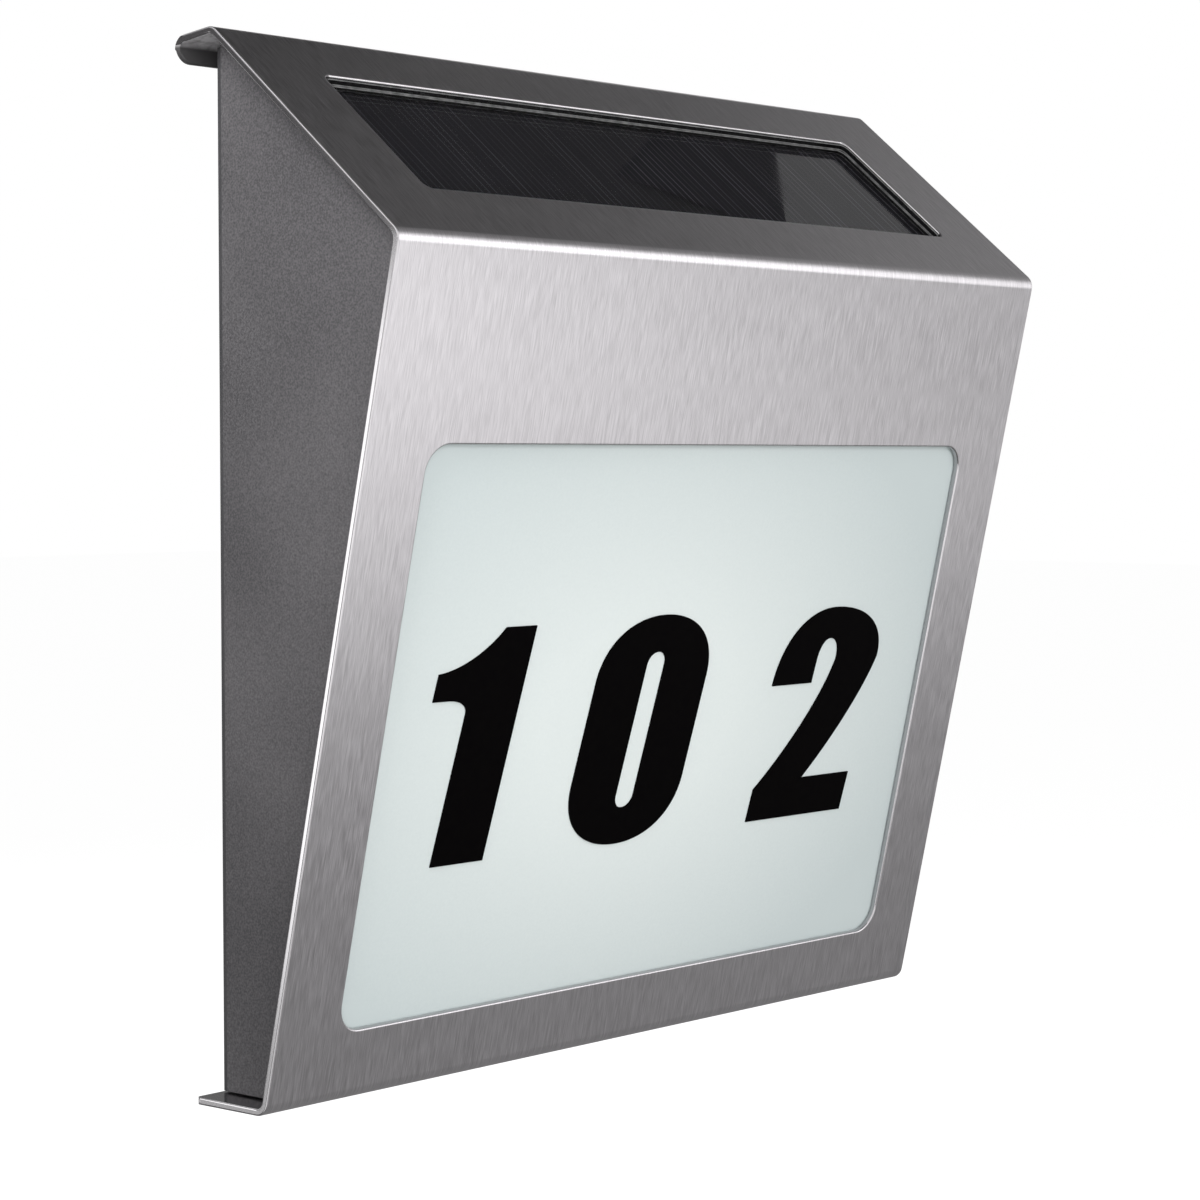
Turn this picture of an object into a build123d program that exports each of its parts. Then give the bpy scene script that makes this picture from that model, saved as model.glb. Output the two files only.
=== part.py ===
from build123d import *
from math import radians, tan
import os

# Solar house number light. Millimetres, +Z up, front towards -Y, wall plane at Y = 0.
# The origin is on the wall, midway between the two wall screws. Heights are measured from the underside
# of the light, drops from its top, reaches from the wall, margins from its sides, and depths from the outer
# skin of the folded cover inwards.

# Folded steel cover
cover_width = 180.0
cover_height = 180.0
sheet = 1.2
bend_radius = 1.5
roof_height = 36.0
ridge_reach = 53.0
sill_reach = 21.0
brow_reach = 9.7
hook_reach = 0.5
hook_fall = 7.0
lip_length = 4.4
lip_corner = 3.0
flange_reach = 4.0
flange_corner = 1.0

# Window for the number, on the front face
window_margin = 14.25
window_height = 101.0
window_sill = 12.6
window_corner = 5.0

# Opening for the solar panel, on the sloping roof
solar_margin = 16.75
solar_height = 31.5
solar_rise = 13.4
solar_corner = 1.8

# Moulded housing and its flat back cover
overhang = 5.5
fit_gap = 0.2
top_gap = 0.5
wall = 2.0
box_corner = 1.2
back_reach = 4.2
back_thickness = 1.5
back_edge = 0.3
back_inset = 0.4
ledge = 1.2
rim_wall = 2.0

# Number panel, its seal and the numerals
panel_thickness = 2.0
panel_lap = 4.0
panel_fit = 0.3
seal_thickness = 0.8
seal_inset = 0.4
digit_height = 42.0
digit_thickness = 0.25
digit_slant = 6.0
digit_baseline = 27.0
curve_pull = 0.6
one_place = -64.3
stem_left = 5.8
stem_width = 13.0
flag_left = -3.0
flag_drop = 7.6
flag_width = 4.8
flag_lift = 0.8
flag_bite = 5.4
crotch = 2.6
zero_place = -10.6
zero_half = 15.5
zero_end = 12.0
overshoot = 0.5
slot_half = 2.5
slot_inset = 6.4
two_place = 28.2
two_left = -2.0
two_width = 31.9
shoulder_drop = 10.5
crown_place = 13.0
crown_width = 6.2
hook_drop = 15.0
hook_inner = 10.2
throat = 16.4
heel_place = 14.5
two_base = 7.7
toe_height = 6.4
knee_outer = (27.0, 21.0)
knee_inner = (14.0, 20.0)

# White reflector tray and lamp strip
reflector_lap = 2.0
reflector_depth = 9.0
reflector_wall = 1.2
led_count = 4
led_pitch = 32.0
led_length = 3.5
led_width = 2.8
led_height = 1.4
led_fit = 0.3
led_board_length = 124.0
led_board_width = 7.0
led_board_thickness = 1.0

# Solar panel: stepped frame, clear cover, cells and backing
frame_lap = 4.0
frame_land = 0.9
frame_collar = 0.4
collar_fit = 0.1
collar_drop = 0.35
frame_lip = 0.8
frame_fit = 0.2
glass_lap = 1.6
glass_thickness = 1.0
cell_inset = 0.6
cell_thickness = 0.3
backing_thickness = 1.5
frame_ledge = 4.5

# Screws: thread radius, head radius and head height
screw_fit = 0.05
hole_fit = 0.3
back_screw = (1.25, 2.5, 1.6)
back_screw_length = 7.0
back_screw_low = 9.0
back_screw_drop = 13.0
cover_screw = (1.5, 2.75, 1.3)
cover_screw_length = 6.5
cover_screw_spacing = 120.0
cover_screw_reach = 11.0
small_screw = (1.0, 1.9, 1.2)
board_screw_length = 5.0
boss_wall = 1.8
boss_length = 8.0
boss_bite = 0.6

# Battery bay in the back cover
battery_radius = 7.25
battery_length = 49.2
battery_nub_radius = 2.75
battery_nub_length = 1.3
battery_edge = 0.6
battery_drop = 50.0
bay_margin = 23.25
bay_gap = 0.6
contact_thickness = 0.5
contact_side = 11.0
spring_room = 4.0
spring_return = 1.5
tab_width = 3.0
tab_proud = 2.5
tab_fit = 0.2
bay_wall = 1.5
door_lap = 3.5
door_ear = 9.0
door_thickness = 1.5
door_seal_thickness = 0.8
door_corner = 2.0
plug_depth = 1.2
plug_wall = 1.2
door_screw_length = 6.0

# Control board with its parts, standing on two bosses of the back cover
board_width = 58.0
board_tall = 28.0
board_thickness = 1.6
board_margin = 10.0
board_drop = 46.0
board_standoff = 5.0
board_screw_inset = 4.5
chip_size = (5.0, 4.0, 1.6)
chip_place = (-6.0, 4.0)
coil_radius = 3.2
coil_tall = 4.5
coil_place = (8.0, 5.0)
capacitor_radius = 2.6
capacitor_tall = 9.0
capacitor_place = (-16.0, -4.0)

# Slide switch on the control board, its knob reaching through the back cover
switch_size = (10.0, 6.0, 4.0)
switch_shell = 0.9
switch_place = (0.0, -5.0)
switch_travel = 2.5
knob_stem = (2.5, 2.0)
knob_foot = (3.6, 3.6, 1.4)
knob_fit = 0.15
knob_proud = 1.2
slot_fit = 0.4
finger_recess = (14.0, 8.0)
recess_corner = 2.5
recess_depth = 0.6

# Pairs of wires inside
wire_radius = 0.55
wire_pitch = 1.8
wire_bend = 3.0
lamp_wire = (4.0, -8.0)
solar_wire = (14.0, 10.0)
plus_wire = (-23.0, -5.0)
minus_wire = (-22.0, 2.0)
loom_depth = 4.0

# Feet of the back cover and the wall bracket
foot_width = 14.0
foot_tall = 8.0
foot_corner = 2.0
foot_spacing = 120.0
foot_height = 16.0
bracket_width = 130.0
bracket_sheet = 1.2
bracket_drop = 33.0
bracket_corner = 4.0
screw_drop = 23.0
wall_screw_spacing = 100.0
wall_screw_radius = 2.25
tongue_gap = 0.3
tongue_rest = 0.4
joggle_start_drop = 14.0
joggle_end_drop = 9.0

os.makedirs("parts", exist_ok=True)
floor = screw_drop - cover_height


def shifted(start, end, depth):
    """Line through two (Y, Z) points, moved depth to its left: a point and a direction."""
    along = (end - start).normalized()
    return start + Vector(-along.Y, along.X) * depth, along


def meet(first, second):
    """Point where two such lines cross."""
    (point, along), (other, across) = first, second
    gap = other - point
    turn = along.X * across.Y - along.Y * across.X
    return point + along * ((gap.X * across.Y - gap.Y * across.X) / turn)


# Corners of the cover's outer skin in the side view, from the hook lip round to the bottom flange
hook = Vector(-hook_reach, floor + cover_height - (brow_reach - hook_reach) * tan(radians(hook_fall)))
lip_end = hook - Vector(0, lip_length)
brow = Vector(-brow_reach, floor + cover_height)
ridge = Vector(-ridge_reach, floor + cover_height - roof_height)
sill = Vector(-sill_reach, floor)
flange_end = Vector(-flange_reach, floor)
skin = [lip_end, hook, brow, ridge, sill, flange_end]


def hook_line(depth):
    return shifted(hook, brow, depth)


def slope_line(depth):
    return shifted(brow, ridge, depth)


def face_line(depth):
    return shifted(ridge, sill, depth)


def flange_line(depth):
    return shifted(sill, flange_end, depth)


def rear_line(reach):
    return Vector(-reach, floor), Vector(0, 1)


def fold_points(depth):
    """Corners of the folded sheet at one depth under its outer skin."""
    lines = [shifted(a, b, depth) for a, b in zip(skin, skin[1:])]
    corners = [meet(a, b) for a, b in zip(lines, lines[1:])]
    return [lines[0][0], *corners, lines[-1][0] + flange_end - sill]


def skin_plane(low, high):
    """Plane on a flat of the cover, x along the width, y up the flat and z outwards."""
    up = (high - low).normalized()
    return Plane(origin=(0, low.X, low.Y), x_dir=(1, 0, 0), z_dir=(0, -up.Y, up.X))


face_plane = skin_plane(sill, ridge)
slope_plane = skin_plane(ridge, brow)
window_width = cover_width - 2 * window_margin
window_middle = window_sill + window_height / 2
solar_width = cover_width - 2 * solar_margin
solar_middle = solar_rise + solar_height / 2
skin_depth = sheet + fit_gap
panel_back = skin_depth + panel_thickness
ledge_front = panel_back + seal_thickness
ledge_back = ledge_front + ledge

# The back of the box: x to the right, y up and z forwards, away from the wall
back_plane = Plane(origin=(0, -back_reach, 0), x_dir=(1, 0, 0), z_dir=(0, -1, 0))
box_width = cover_width - 2 * overhang
box_rear = back_reach + back_thickness


def height(value):
    """Z of a height over the underside of the light."""
    return floor + value


def drop(value):
    """Z of a drop under the top of the light."""
    return floor + cover_height - value


def box_outline(inset):
    """Side view of the box, inset from its outer faces but open to the back cover."""
    top = hook_line(sheet + top_gap + inset)
    slope = slope_line(skin_depth + inset)
    face = face_line(skin_depth + inset)
    base = flange_line(skin_depth + inset)
    rear = rear_line(box_rear)
    return [meet(rear, top), meet(top, slope), meet(slope, face), meet(face, base), meet(base, rear)]


def rounded(width, tall, corner, x=0, y=0, mode=Mode.ADD):
    """Rounded rectangle of a sketch, centred on x and y."""
    with Locations((x, y)):
        RectangleRounded(width, tall, corner, mode=mode)


def save(piece, name):
    piece.part.label = name
    export_step(piece.part, f"parts/{name}.step")


# Front cover: one sheet with five folds, the hook lip's corners well rounded
with BuildPart() as front_cover:
    with BuildSketch(Plane.YZ):
        with BuildLine():
            outer = FilletPolyline(*fold_points(0), radius=bend_radius + sheet)
            inner = FilletPolyline(*fold_points(sheet), radius=bend_radius)
            Line(outer @ 0, inner @ 0)
            Line(outer @ 1, inner @ 1)
        make_face()
    extrude(amount=cover_width / 2, both=True)
    lip_ends = front_cover.edges().filter_by(Axis.Y)
    lip_ends = [edge for edge in lip_ends if abs(edge.center().Z - lip_end.Y) < sheet / 2]
    fillet(lip_ends, radius=lip_corner)
    flange_ends = front_cover.edges().filter_by(Axis.Z)
    flange_ends = [edge for edge in flange_ends if abs(edge.center().Y - flange_end.X) < sheet / 2]
    fillet(flange_ends, radius=flange_corner)
    with BuildSketch(face_plane):
        rounded(window_width, window_height, window_corner, y=window_middle)
    extrude(amount=-ledge_back, mode=Mode.SUBTRACT)
    with BuildSketch(slope_plane):
        rounded(solar_width, solar_height, solar_corner, y=solar_middle)
    extrude(amount=-ledge_back, mode=Mode.SUBTRACT)
    with BuildSketch(Plane.XY.offset(floor)):
        with Locations((0, -cover_screw_reach)):
            with GridLocations(cover_screw_spacing, 0, 2, 1):
                Circle(cover_screw[0] + hole_fit)
    extrude(amount=sheet, mode=Mode.SUBTRACT)
save(front_cover, "front_cover")

# Lamp housing: grey moulded box with a pocket for the number panel and one for the solar frame
panel_width = window_width + 2 * panel_lap
panel_height = window_height + 2 * panel_lap
panel_corner = window_corner + panel_lap
frame_width = solar_width + 2 * frame_lap
frame_height = solar_height + 2 * frame_lap
frame_corner = solar_corner + frame_lap
frame_thickness = frame_lip + glass_thickness + cell_thickness + backing_thickness
boss_radius = back_screw[0] + boss_wall
boss_place = box_width / 2 - wall - boss_radius + boss_bite
boss_floor = skin_depth + wall
back_screw_levels = (height(back_screw_low), drop(back_screw_drop))
with BuildPart() as lamp_housing:
    with BuildSketch(Plane.YZ):
        with BuildLine():
            Polyline(*box_outline(0), close=True)
        make_face()
    extrude(amount=box_width / 2, both=True)
    front_edges = lamp_housing.edges().filter_by(Axis.X).sort_by(Axis.Y)[:1]
    low_edges = lamp_housing.edges().filter_by(Axis.X).group_by(Axis.Z)[0].sort_by(Axis.Y)[:1]
    fillet(front_edges + low_edges, radius=box_corner)
    with BuildSketch(Plane.YZ):
        with BuildLine():
            Polyline(*box_outline(wall), close=True)
        make_face()
    extrude(amount=box_width / 2 - wall, both=True, mode=Mode.SUBTRACT)
    # Rims that hold the number panel and the solar frame
    with BuildSketch(face_plane.offset(-skin_depth)):
        rim = 2 * (panel_fit + rim_wall)
        rounded(panel_width + rim, panel_height + rim, panel_corner + rim_wall, y=window_middle)
    extrude(amount=skin_depth - ledge_back)
    with BuildSketch(slope_plane.offset(-skin_depth)):
        rim = 2 * (frame_fit + rim_wall)
        rounded(frame_width + rim, frame_height + rim, frame_corner + rim_wall, y=solar_middle)
    extrude(amount=-frame_thickness - ledge)
    # Bosses for the back cover's screws, on the side walls, and for the front cover's, on the floor
    with BuildSketch(back_plane.offset(back_thickness)):
        for level in back_screw_levels:
            with Locations((0, level)):
                with GridLocations(2 * boss_place, 0, 2, 1):
                    Circle(boss_radius)
    extrude(amount=boss_length)
    with BuildSketch(Plane.XY.offset(height(boss_floor))):
        with Locations((0, -cover_screw_reach)):
            with GridLocations(cover_screw_spacing, 0, 2, 1):
                Circle(cover_screw[0] + boss_wall)
    extrude(amount=cover_screw_length - boss_floor + ledge)
    with BuildSketch(back_plane.offset(back_thickness)):
        for level in back_screw_levels:
            with Locations((0, level)):
                with GridLocations(2 * boss_place, 0, 2, 1):
                    Circle(back_screw[0] + screw_fit)
    extrude(amount=back_screw_length, mode=Mode.SUBTRACT)
    with BuildSketch(Plane.XY.offset(floor)):
        with Locations((0, -cover_screw_reach)):
            with GridLocations(cover_screw_spacing, 0, 2, 1):
                Circle(cover_screw[0] + screw_fit)
    extrude(amount=cover_screw_length, mode=Mode.SUBTRACT)
    # Pockets and the openings through their ledges
    with BuildSketch(face_plane.offset(-skin_depth)):
        fit = 2 * panel_fit
        rounded(panel_width + fit, panel_height + fit, panel_corner, y=window_middle)
    extrude(amount=skin_depth - ledge_front, mode=Mode.SUBTRACT)
    with BuildSketch(face_plane.offset(-skin_depth)):
        rounded(window_width, window_height, window_corner, y=window_middle)
    extrude(amount=skin_depth - ledge_back, mode=Mode.SUBTRACT)
    with BuildSketch(slope_plane.offset(-skin_depth)):
        fit = 2 * frame_fit
        rounded(frame_width + fit, frame_height + fit, frame_corner, y=solar_middle)
    extrude(amount=-frame_thickness, mode=Mode.SUBTRACT)
    with BuildSketch(slope_plane.offset(-skin_depth)):
        bearing = 2 * frame_ledge
        rounded(frame_width - bearing, frame_height - bearing, solar_corner, y=solar_middle)
    extrude(amount=-frame_thickness - ledge, mode=Mode.SUBTRACT)
save(lamp_housing, "lamp_housing")

# Number panel: frosted acrylic plate, with its foam seal behind
with BuildPart() as number_panel:
    with BuildSketch(face_plane.offset(-skin_depth)):
        rounded(panel_width, panel_height, panel_corner, y=window_middle)
    extrude(amount=-panel_thickness)
save(number_panel, "number_panel")

with BuildPart() as panel_seal:
    with BuildSketch(face_plane.offset(-panel_back)):
        rounded(panel_width, panel_height, panel_corner, y=window_middle)
        hole = 2 * seal_inset
        rounded(window_width + hole, window_height + hole, window_corner, y=window_middle, mode=Mode.SUBTRACT)
    extrude(amount=-seal_thickness)
save(panel_seal, "panel_seal")


def slanted(points, place):
    """Points of a numeral leaned to the right and set on the baseline at place."""
    lean = tan(radians(digit_slant))
    base = window_sill + digit_baseline
    return [(place + x + y * lean, base + y) for x, y in points]


def straight(place, *points):
    """Straight stretches of a numeral's outline."""
    Polyline(*slanted(points, place))


def bend(place, start, corner, end):
    """Curve of a numeral's outline that leaves start towards a corner and comes to end from it."""
    across, up = corner
    handles = [(x + curve_pull * (across - x), y + curve_pull * (up - y)) for x, y in (start, end)]
    Bezier(*slanted([start, *handles, end], place))


numeral_plane = face_plane.offset(-skin_depth)
top = digit_height

# The heavy numeral one: a stem with a curved flag
stem_right = stem_left + stem_width
flag_head = top - flag_drop
flag_foot = flag_head - flag_width
flag_tip = (flag_left, flag_head)
flag_root = (stem_left + flag_bite, top)
flag_bow = (stem_left, flag_head + flag_lift)
crotch_start = (stem_left - 2 * crotch, flag_foot)
crotch_end = (stem_left, flag_foot - crotch)
with BuildPart() as digit_one:
    with BuildSketch(numeral_plane):
        with BuildLine():
            straight(one_place, crotch_end, (stem_left, 0), (stem_right, 0), (stem_right, top), flag_root)
            bend(one_place, flag_root, flag_bow, flag_tip)
            straight(one_place, flag_tip, (flag_left, flag_foot), crotch_start)
            bend(one_place, crotch_start, (stem_left, flag_foot), crotch_end)
        make_face()
    extrude(amount=digit_thickness)
save(digit_one, "digit_one")


def obround(place, half, low, high, end):
    """Tall ring outline of half width, with rounded ends of the given height between low and high."""
    for side in (-half, half):
        straight(place, (side, low + end), (side, high - end))
        bend(place, (side, high - end), (side, high), (0, high))
        bend(place, (side, low + end), (side, low), (0, low))


# The heavy numeral zero: a tall ring with a narrow slot, a little taller than the others
with BuildPart() as digit_zero:
    with BuildSketch(numeral_plane):
        with BuildLine():
            obround(zero_place, zero_half, -overshoot, top + overshoot, zero_end)
        make_face()
        with BuildLine():
            obround(zero_place, slot_half, slot_inset, top - slot_inset, slot_half)
        make_face(mode=Mode.SUBTRACT)
    extrude(amount=digit_thickness)
save(digit_zero, "digit_zero")

# The heavy numeral two: a hooked top, a swung diagonal and a flat foot
two_right = two_left + two_width
shoulder = top - shoulder_drop
crown = (crown_place, top)
arch = (crown_place, top - crown_width)
hook_start = (two_left, top - hook_drop)
hook_end = (hook_inner, top - hook_drop)
arch_left = (hook_inner, shoulder)
arch_right = (throat, shoulder)
shoulder_point = (two_right, shoulder)
heel = (heel_place, two_base)
toe = (0, toe_height)
with BuildPart() as digit_two:
    with BuildSketch(numeral_plane):
        with BuildLine():
            bend(two_place, hook_start, (two_left, top), crown)
            bend(two_place, crown, (two_right, top), shoulder_point)
            bend(two_place, shoulder_point, knee_outer, heel)
            straight(two_place, heel, (two_right, two_base), (two_right, 0), (0, 0), toe)
            bend(two_place, toe, knee_inner, arch_right)
            bend(two_place, arch_right, (throat, arch[1]), arch)
            bend(two_place, arch, (hook_inner, arch[1]), arch_left)
            straight(two_place, arch_left, hook_end, hook_start)
        make_face()
    extrude(amount=digit_thickness)
save(digit_two, "digit_two")

# Reflector: white tray glued behind the ledge, with slots in its roof for the lamps
tray_width = window_width + 2 * reflector_lap
tray_height = window_height + 2 * reflector_lap
tray_roof = window_middle + tray_height / 2
strip_origin = face_plane.from_local_coords((0, tray_roof, -ledge_back - reflector_depth / 2))
strip_plane = Plane(origin=strip_origin, x_dir=(1, 0, 0), z_dir=face_plane.y_dir)
with BuildPart() as reflector:
    with BuildSketch(face_plane.offset(-ledge_back)):
        rounded(tray_width, tray_height, window_corner, y=window_middle)
    extrude(amount=-reflector_depth)
    with BuildSketch(face_plane.offset(-ledge_back)):
        hollow = 2 * reflector_wall
        rounded(tray_width - hollow, tray_height - hollow, window_corner - reflector_wall, y=window_middle)
    extrude(amount=reflector_wall - reflector_depth, mode=Mode.SUBTRACT)
    with BuildSketch(strip_plane):
        with GridLocations(led_pitch, 0, led_count, 1):
            Rectangle(led_length + 2 * led_fit, led_width + 2 * led_fit)
    extrude(amount=-reflector_wall, mode=Mode.SUBTRACT)
save(reflector, "reflector")

with BuildPart() as led_board:
    with BuildSketch(strip_plane):
        Rectangle(led_board_length, led_board_width)
    extrude(amount=led_board_thickness)
save(led_board, "led_board")

with BuildPart() as leds:
    with BuildSketch(strip_plane):
        with GridLocations(led_pitch, 0, led_count, 1):
            Rectangle(led_length, led_width)
    extrude(amount=-led_height)
save(leds, "leds")

# Solar panel: the frame's lip stands over the clear cover, the cells and the backing board
glass_width = solar_width - 2 * frame_land + 2 * glass_lap
glass_height = solar_height - 2 * frame_land + 2 * glass_lap
glass_depth = skin_depth + frame_lip
cell_depth = glass_depth + glass_thickness
backing_depth = cell_depth + cell_thickness
with BuildPart() as solar_frame:
    with BuildSketch(slope_plane.offset(-skin_depth)):
        rounded(frame_width, frame_height, frame_corner, y=solar_middle)
    extrude(amount=-frame_thickness)
    with BuildSketch(slope_plane.offset(-skin_depth)):
        land = 2 * frame_land
        rounded(solar_width - land, solar_height - land, solar_corner, y=solar_middle)
    extrude(amount=-frame_lip, mode=Mode.SUBTRACT)
    with BuildSketch(slope_plane.offset(-glass_depth)):
        fit = 2 * frame_fit
        rounded(glass_width + fit, glass_height + fit, solar_corner, y=solar_middle)
    extrude(amount=frame_lip - frame_thickness, mode=Mode.SUBTRACT)
    # Collar that stands up into the sheet's opening and lines its cut edge
    with BuildSketch(slope_plane.offset(-skin_depth)):
        play = 2 * collar_fit
        rounded(solar_width - play, solar_height - play, solar_corner - collar_fit, y=solar_middle)
        bore = play + 2 * frame_collar
        inner_corner = solar_corner - collar_fit - frame_collar
        rounded(solar_width - bore, solar_height - bore, inner_corner, y=solar_middle, mode=Mode.SUBTRACT)
    extrude(amount=skin_depth - collar_drop)
save(solar_frame, "solar_frame")

with BuildPart() as solar_glass:
    with BuildSketch(slope_plane.offset(-glass_depth)):
        rounded(glass_width, glass_height, solar_corner, y=solar_middle)
    extrude(amount=-glass_thickness)
save(solar_glass, "solar_glass")

with BuildPart() as solar_cells:
    with BuildSketch(slope_plane.offset(-cell_depth)):
        with Locations((0, solar_middle)):
            Rectangle(glass_width - 2 * cell_inset, glass_height - 2 * cell_inset)
    extrude(amount=-cell_thickness)
save(solar_cells, "solar_cells")

with BuildPart() as solar_backing:
    with BuildSketch(slope_plane.offset(-backing_depth)):
        rounded(glass_width, glass_height, solar_corner, y=solar_middle)
    extrude(amount=-backing_thickness)
save(solar_backing, "solar_backing")

# Back cover: flat lid with the battery bay, two board bosses, a switch slot and two feet for the wall
bay_length = battery_length + battery_nub_length + 2 * contact_thickness + spring_room
bay_tall = 2 * (battery_radius + bay_gap)
bay_depth = bay_tall - back_thickness
battery_place = bay_margin + bay_length / 2 - box_width / 2
battery_level = drop(battery_drop)
bay_middle = (battery_place, battery_level)
bay_floor = back_plane.offset(back_thickness + bay_depth)
bay_start = battery_place - bay_length / 2
cell_start = bay_start + contact_thickness + spring_room
minus_tab = bay_start + contact_thickness / 2
plus_tab = bay_start + bay_length - contact_thickness / 2
board_place = box_width / 2 - board_margin - board_width / 2
board_level = drop(board_drop)
board_middle = (board_place, board_level)
board_screw_x = board_width / 2 - board_screw_inset
board_screw_y = board_tall / 2 - board_screw_inset
switch_x = board_place + switch_place[0]
switch_y = board_level + switch_place[1]
slot_middle = (switch_x + switch_travel / 2, switch_y)
ear_middle = bay_start - door_ear / 2 - door_lap / 2
ear = (ear_middle, battery_level)
door_boss_radius = small_screw[0] + boss_wall
with BuildPart() as back_cover:
    with BuildSketch(Plane.YZ):
        with BuildLine():
            low = meet(flange_line(skin_depth), rear_line(box_rear))
            high = meet(hook_line(sheet + top_gap), rear_line(box_rear))
            eave = high.Y - back_inset
            Polyline(low, (low.X, eave), (-back_reach, eave), (-back_reach, low.Y), close=True)
        make_face()
    extrude(amount=box_width / 2 - back_inset, both=True)
    chamfer(back_cover.faces().sort_by(Axis.Y)[-1].edges(), length=back_edge)
    with BuildSketch(back_plane.offset(back_thickness)):
        with Locations(bay_middle):
            Rectangle(bay_length + 2 * bay_wall, bay_tall + 2 * bay_wall)
    extrude(amount=bay_depth + bay_wall)
    with BuildSketch(back_plane.offset(back_thickness)):
        with Locations(ear):
            Circle(door_boss_radius)
    extrude(amount=door_screw_length)
    with BuildSketch(back_plane.offset(back_thickness)):
        with Locations(board_middle):
            with Locations((board_screw_x, board_screw_y), (-board_screw_x, -board_screw_y)):
                Circle(small_screw[0] + boss_wall)
    extrude(amount=board_standoff)
    with BuildSketch(back_plane):
        with Locations((0, height(foot_height))):
            with GridLocations(foot_spacing, 0, 2, 1):
                RectangleRounded(foot_width, foot_tall, foot_corner)
    extrude(amount=-back_reach)
    with BuildSketch(back_plane):
        with Locations(bay_middle):
            Rectangle(bay_length, bay_tall)
    extrude(amount=back_thickness + bay_depth, mode=Mode.SUBTRACT)
    with BuildSketch(bay_floor):
        with Locations((minus_tab, battery_level), (plus_tab, battery_level)):
            Rectangle(contact_thickness + 2 * tab_fit, tab_width + 2 * tab_fit)
    extrude(amount=bay_wall, mode=Mode.SUBTRACT)
    with BuildSketch(back_plane):
        with Locations(ear):
            Circle(small_screw[0] + screw_fit)
    extrude(amount=back_thickness + door_screw_length, mode=Mode.SUBTRACT)
    with BuildSketch(back_plane.offset(back_thickness)):
        with Locations(board_middle):
            with Locations((board_screw_x, board_screw_y), (-board_screw_x, -board_screw_y)):
                Circle(small_screw[0] + screw_fit)
    extrude(amount=board_standoff, mode=Mode.SUBTRACT)
    with BuildSketch(back_plane):
        for level in back_screw_levels:
            with Locations((0, level)):
                with GridLocations(2 * boss_place, 0, 2, 1):
                    Circle(back_screw[0] + hole_fit)
    extrude(amount=back_thickness, mode=Mode.SUBTRACT)
    with BuildSketch(back_plane):
        with Locations(slot_middle):
            RectangleRounded(*finger_recess, recess_corner)
    extrude(amount=recess_depth, mode=Mode.SUBTRACT)
    with BuildSketch(back_plane):
        with Locations(slot_middle):
            Rectangle(knob_stem[0] + switch_travel + 2 * slot_fit, knob_stem[1] + 2 * slot_fit)
    extrude(amount=back_thickness, mode=Mode.SUBTRACT)
save(back_cover, "back_cover")


def screws(seat, places, sizes, length):
    """Pan-head screws at places of a plane, with their heads behind it and their threads in front."""
    thread, head, head_height = sizes
    with BuildPart() as made:
        with BuildSketch(seat):
            with Locations(*places):
                Circle(thread)
        extrude(amount=length)
        with BuildSketch(seat):
            with Locations(*places):
                Circle(head)
        extrude(amount=-head_height)
    return made


corners = [(side * boss_place, level) for side in (-1, 1) for level in back_screw_levels]
save(screws(back_plane, corners, back_screw, back_screw_length), "back_screws")
under = [(side * cover_screw_spacing / 2, -cover_screw_reach) for side in (-1, 1)]
save(screws(Plane.XY.offset(floor), under, cover_screw, cover_screw_length), "cover_screws")

# Battery and its contacts, lying across the bay
cell_axis = -back_reach - back_thickness - bay_depth + battery_radius + bay_gap / 2
cell_plane = Plane(origin=(cell_start, cell_axis, battery_level), x_dir=(0, 1, 0), z_dir=(1, 0, 0))
with BuildPart() as battery:
    with BuildSketch(cell_plane):
        Circle(battery_radius)
    extrude(amount=battery_length)
    fillet(battery.edges().filter_by(GeomType.CIRCLE), radius=battery_edge)
    with BuildSketch(cell_plane.offset(battery_length)):
        Circle(battery_nub_radius)
    extrude(amount=battery_nub_length)
save(battery, "battery")

tab_length = battery_radius + bay_gap / 2 + bay_wall + tab_proud
plus_plane = cell_plane.offset(battery_length + battery_nub_length)
minus_plane = cell_plane.offset(-spring_room - contact_thickness)
with BuildPart() as battery_plate:
    with BuildSketch(plus_plane):
        Rectangle(contact_side, contact_side)
        with Locations((-tab_length / 2, 0)):
            Rectangle(tab_length, tab_width)
    extrude(amount=contact_thickness)
save(battery_plate, "battery_plate")

# Negative contact: a plate on the bay's wall with a tongue bent out to the cell
with BuildPart() as battery_spring:
    with BuildSketch(Plane.XY.offset(battery_level)):
        with BuildLine():
            far = bay_start + contact_thickness / 2
            near = cell_start - contact_thickness
            back = cell_axis + contact_side / 2
            front = cell_axis - contact_side / 2
            tip = (far + contact_thickness, front + spring_return)
            Polyline((far, front), (far, back), (near, cell_axis), tip)
        trace(line_width=contact_thickness)
    extrude(amount=contact_side / 2, both=True)
    with BuildSketch(minus_plane):
        with Locations((-tab_length / 2, 0)):
            Rectangle(tab_length, tab_width)
    extrude(amount=contact_thickness)
save(battery_spring, "battery_spring")

# Battery door with its plug and seal, one screw in an ear
door_width = bay_length + 2 * door_lap + door_ear
door_tall = bay_tall + 2 * door_lap
door_x = battery_place - door_ear / 2
door_plane = back_plane.offset(-door_seal_thickness)
with BuildPart() as door_seal:
    with BuildSketch(back_plane):
        rounded(door_width, door_tall, door_corner, x=door_x, y=battery_level)
        with Locations(bay_middle):
            Rectangle(bay_length, bay_tall, mode=Mode.SUBTRACT)
        with Locations(ear):
            Circle(small_screw[0] + hole_fit, mode=Mode.SUBTRACT)
    extrude(amount=-door_seal_thickness)
save(door_seal, "door_seal")

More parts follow.
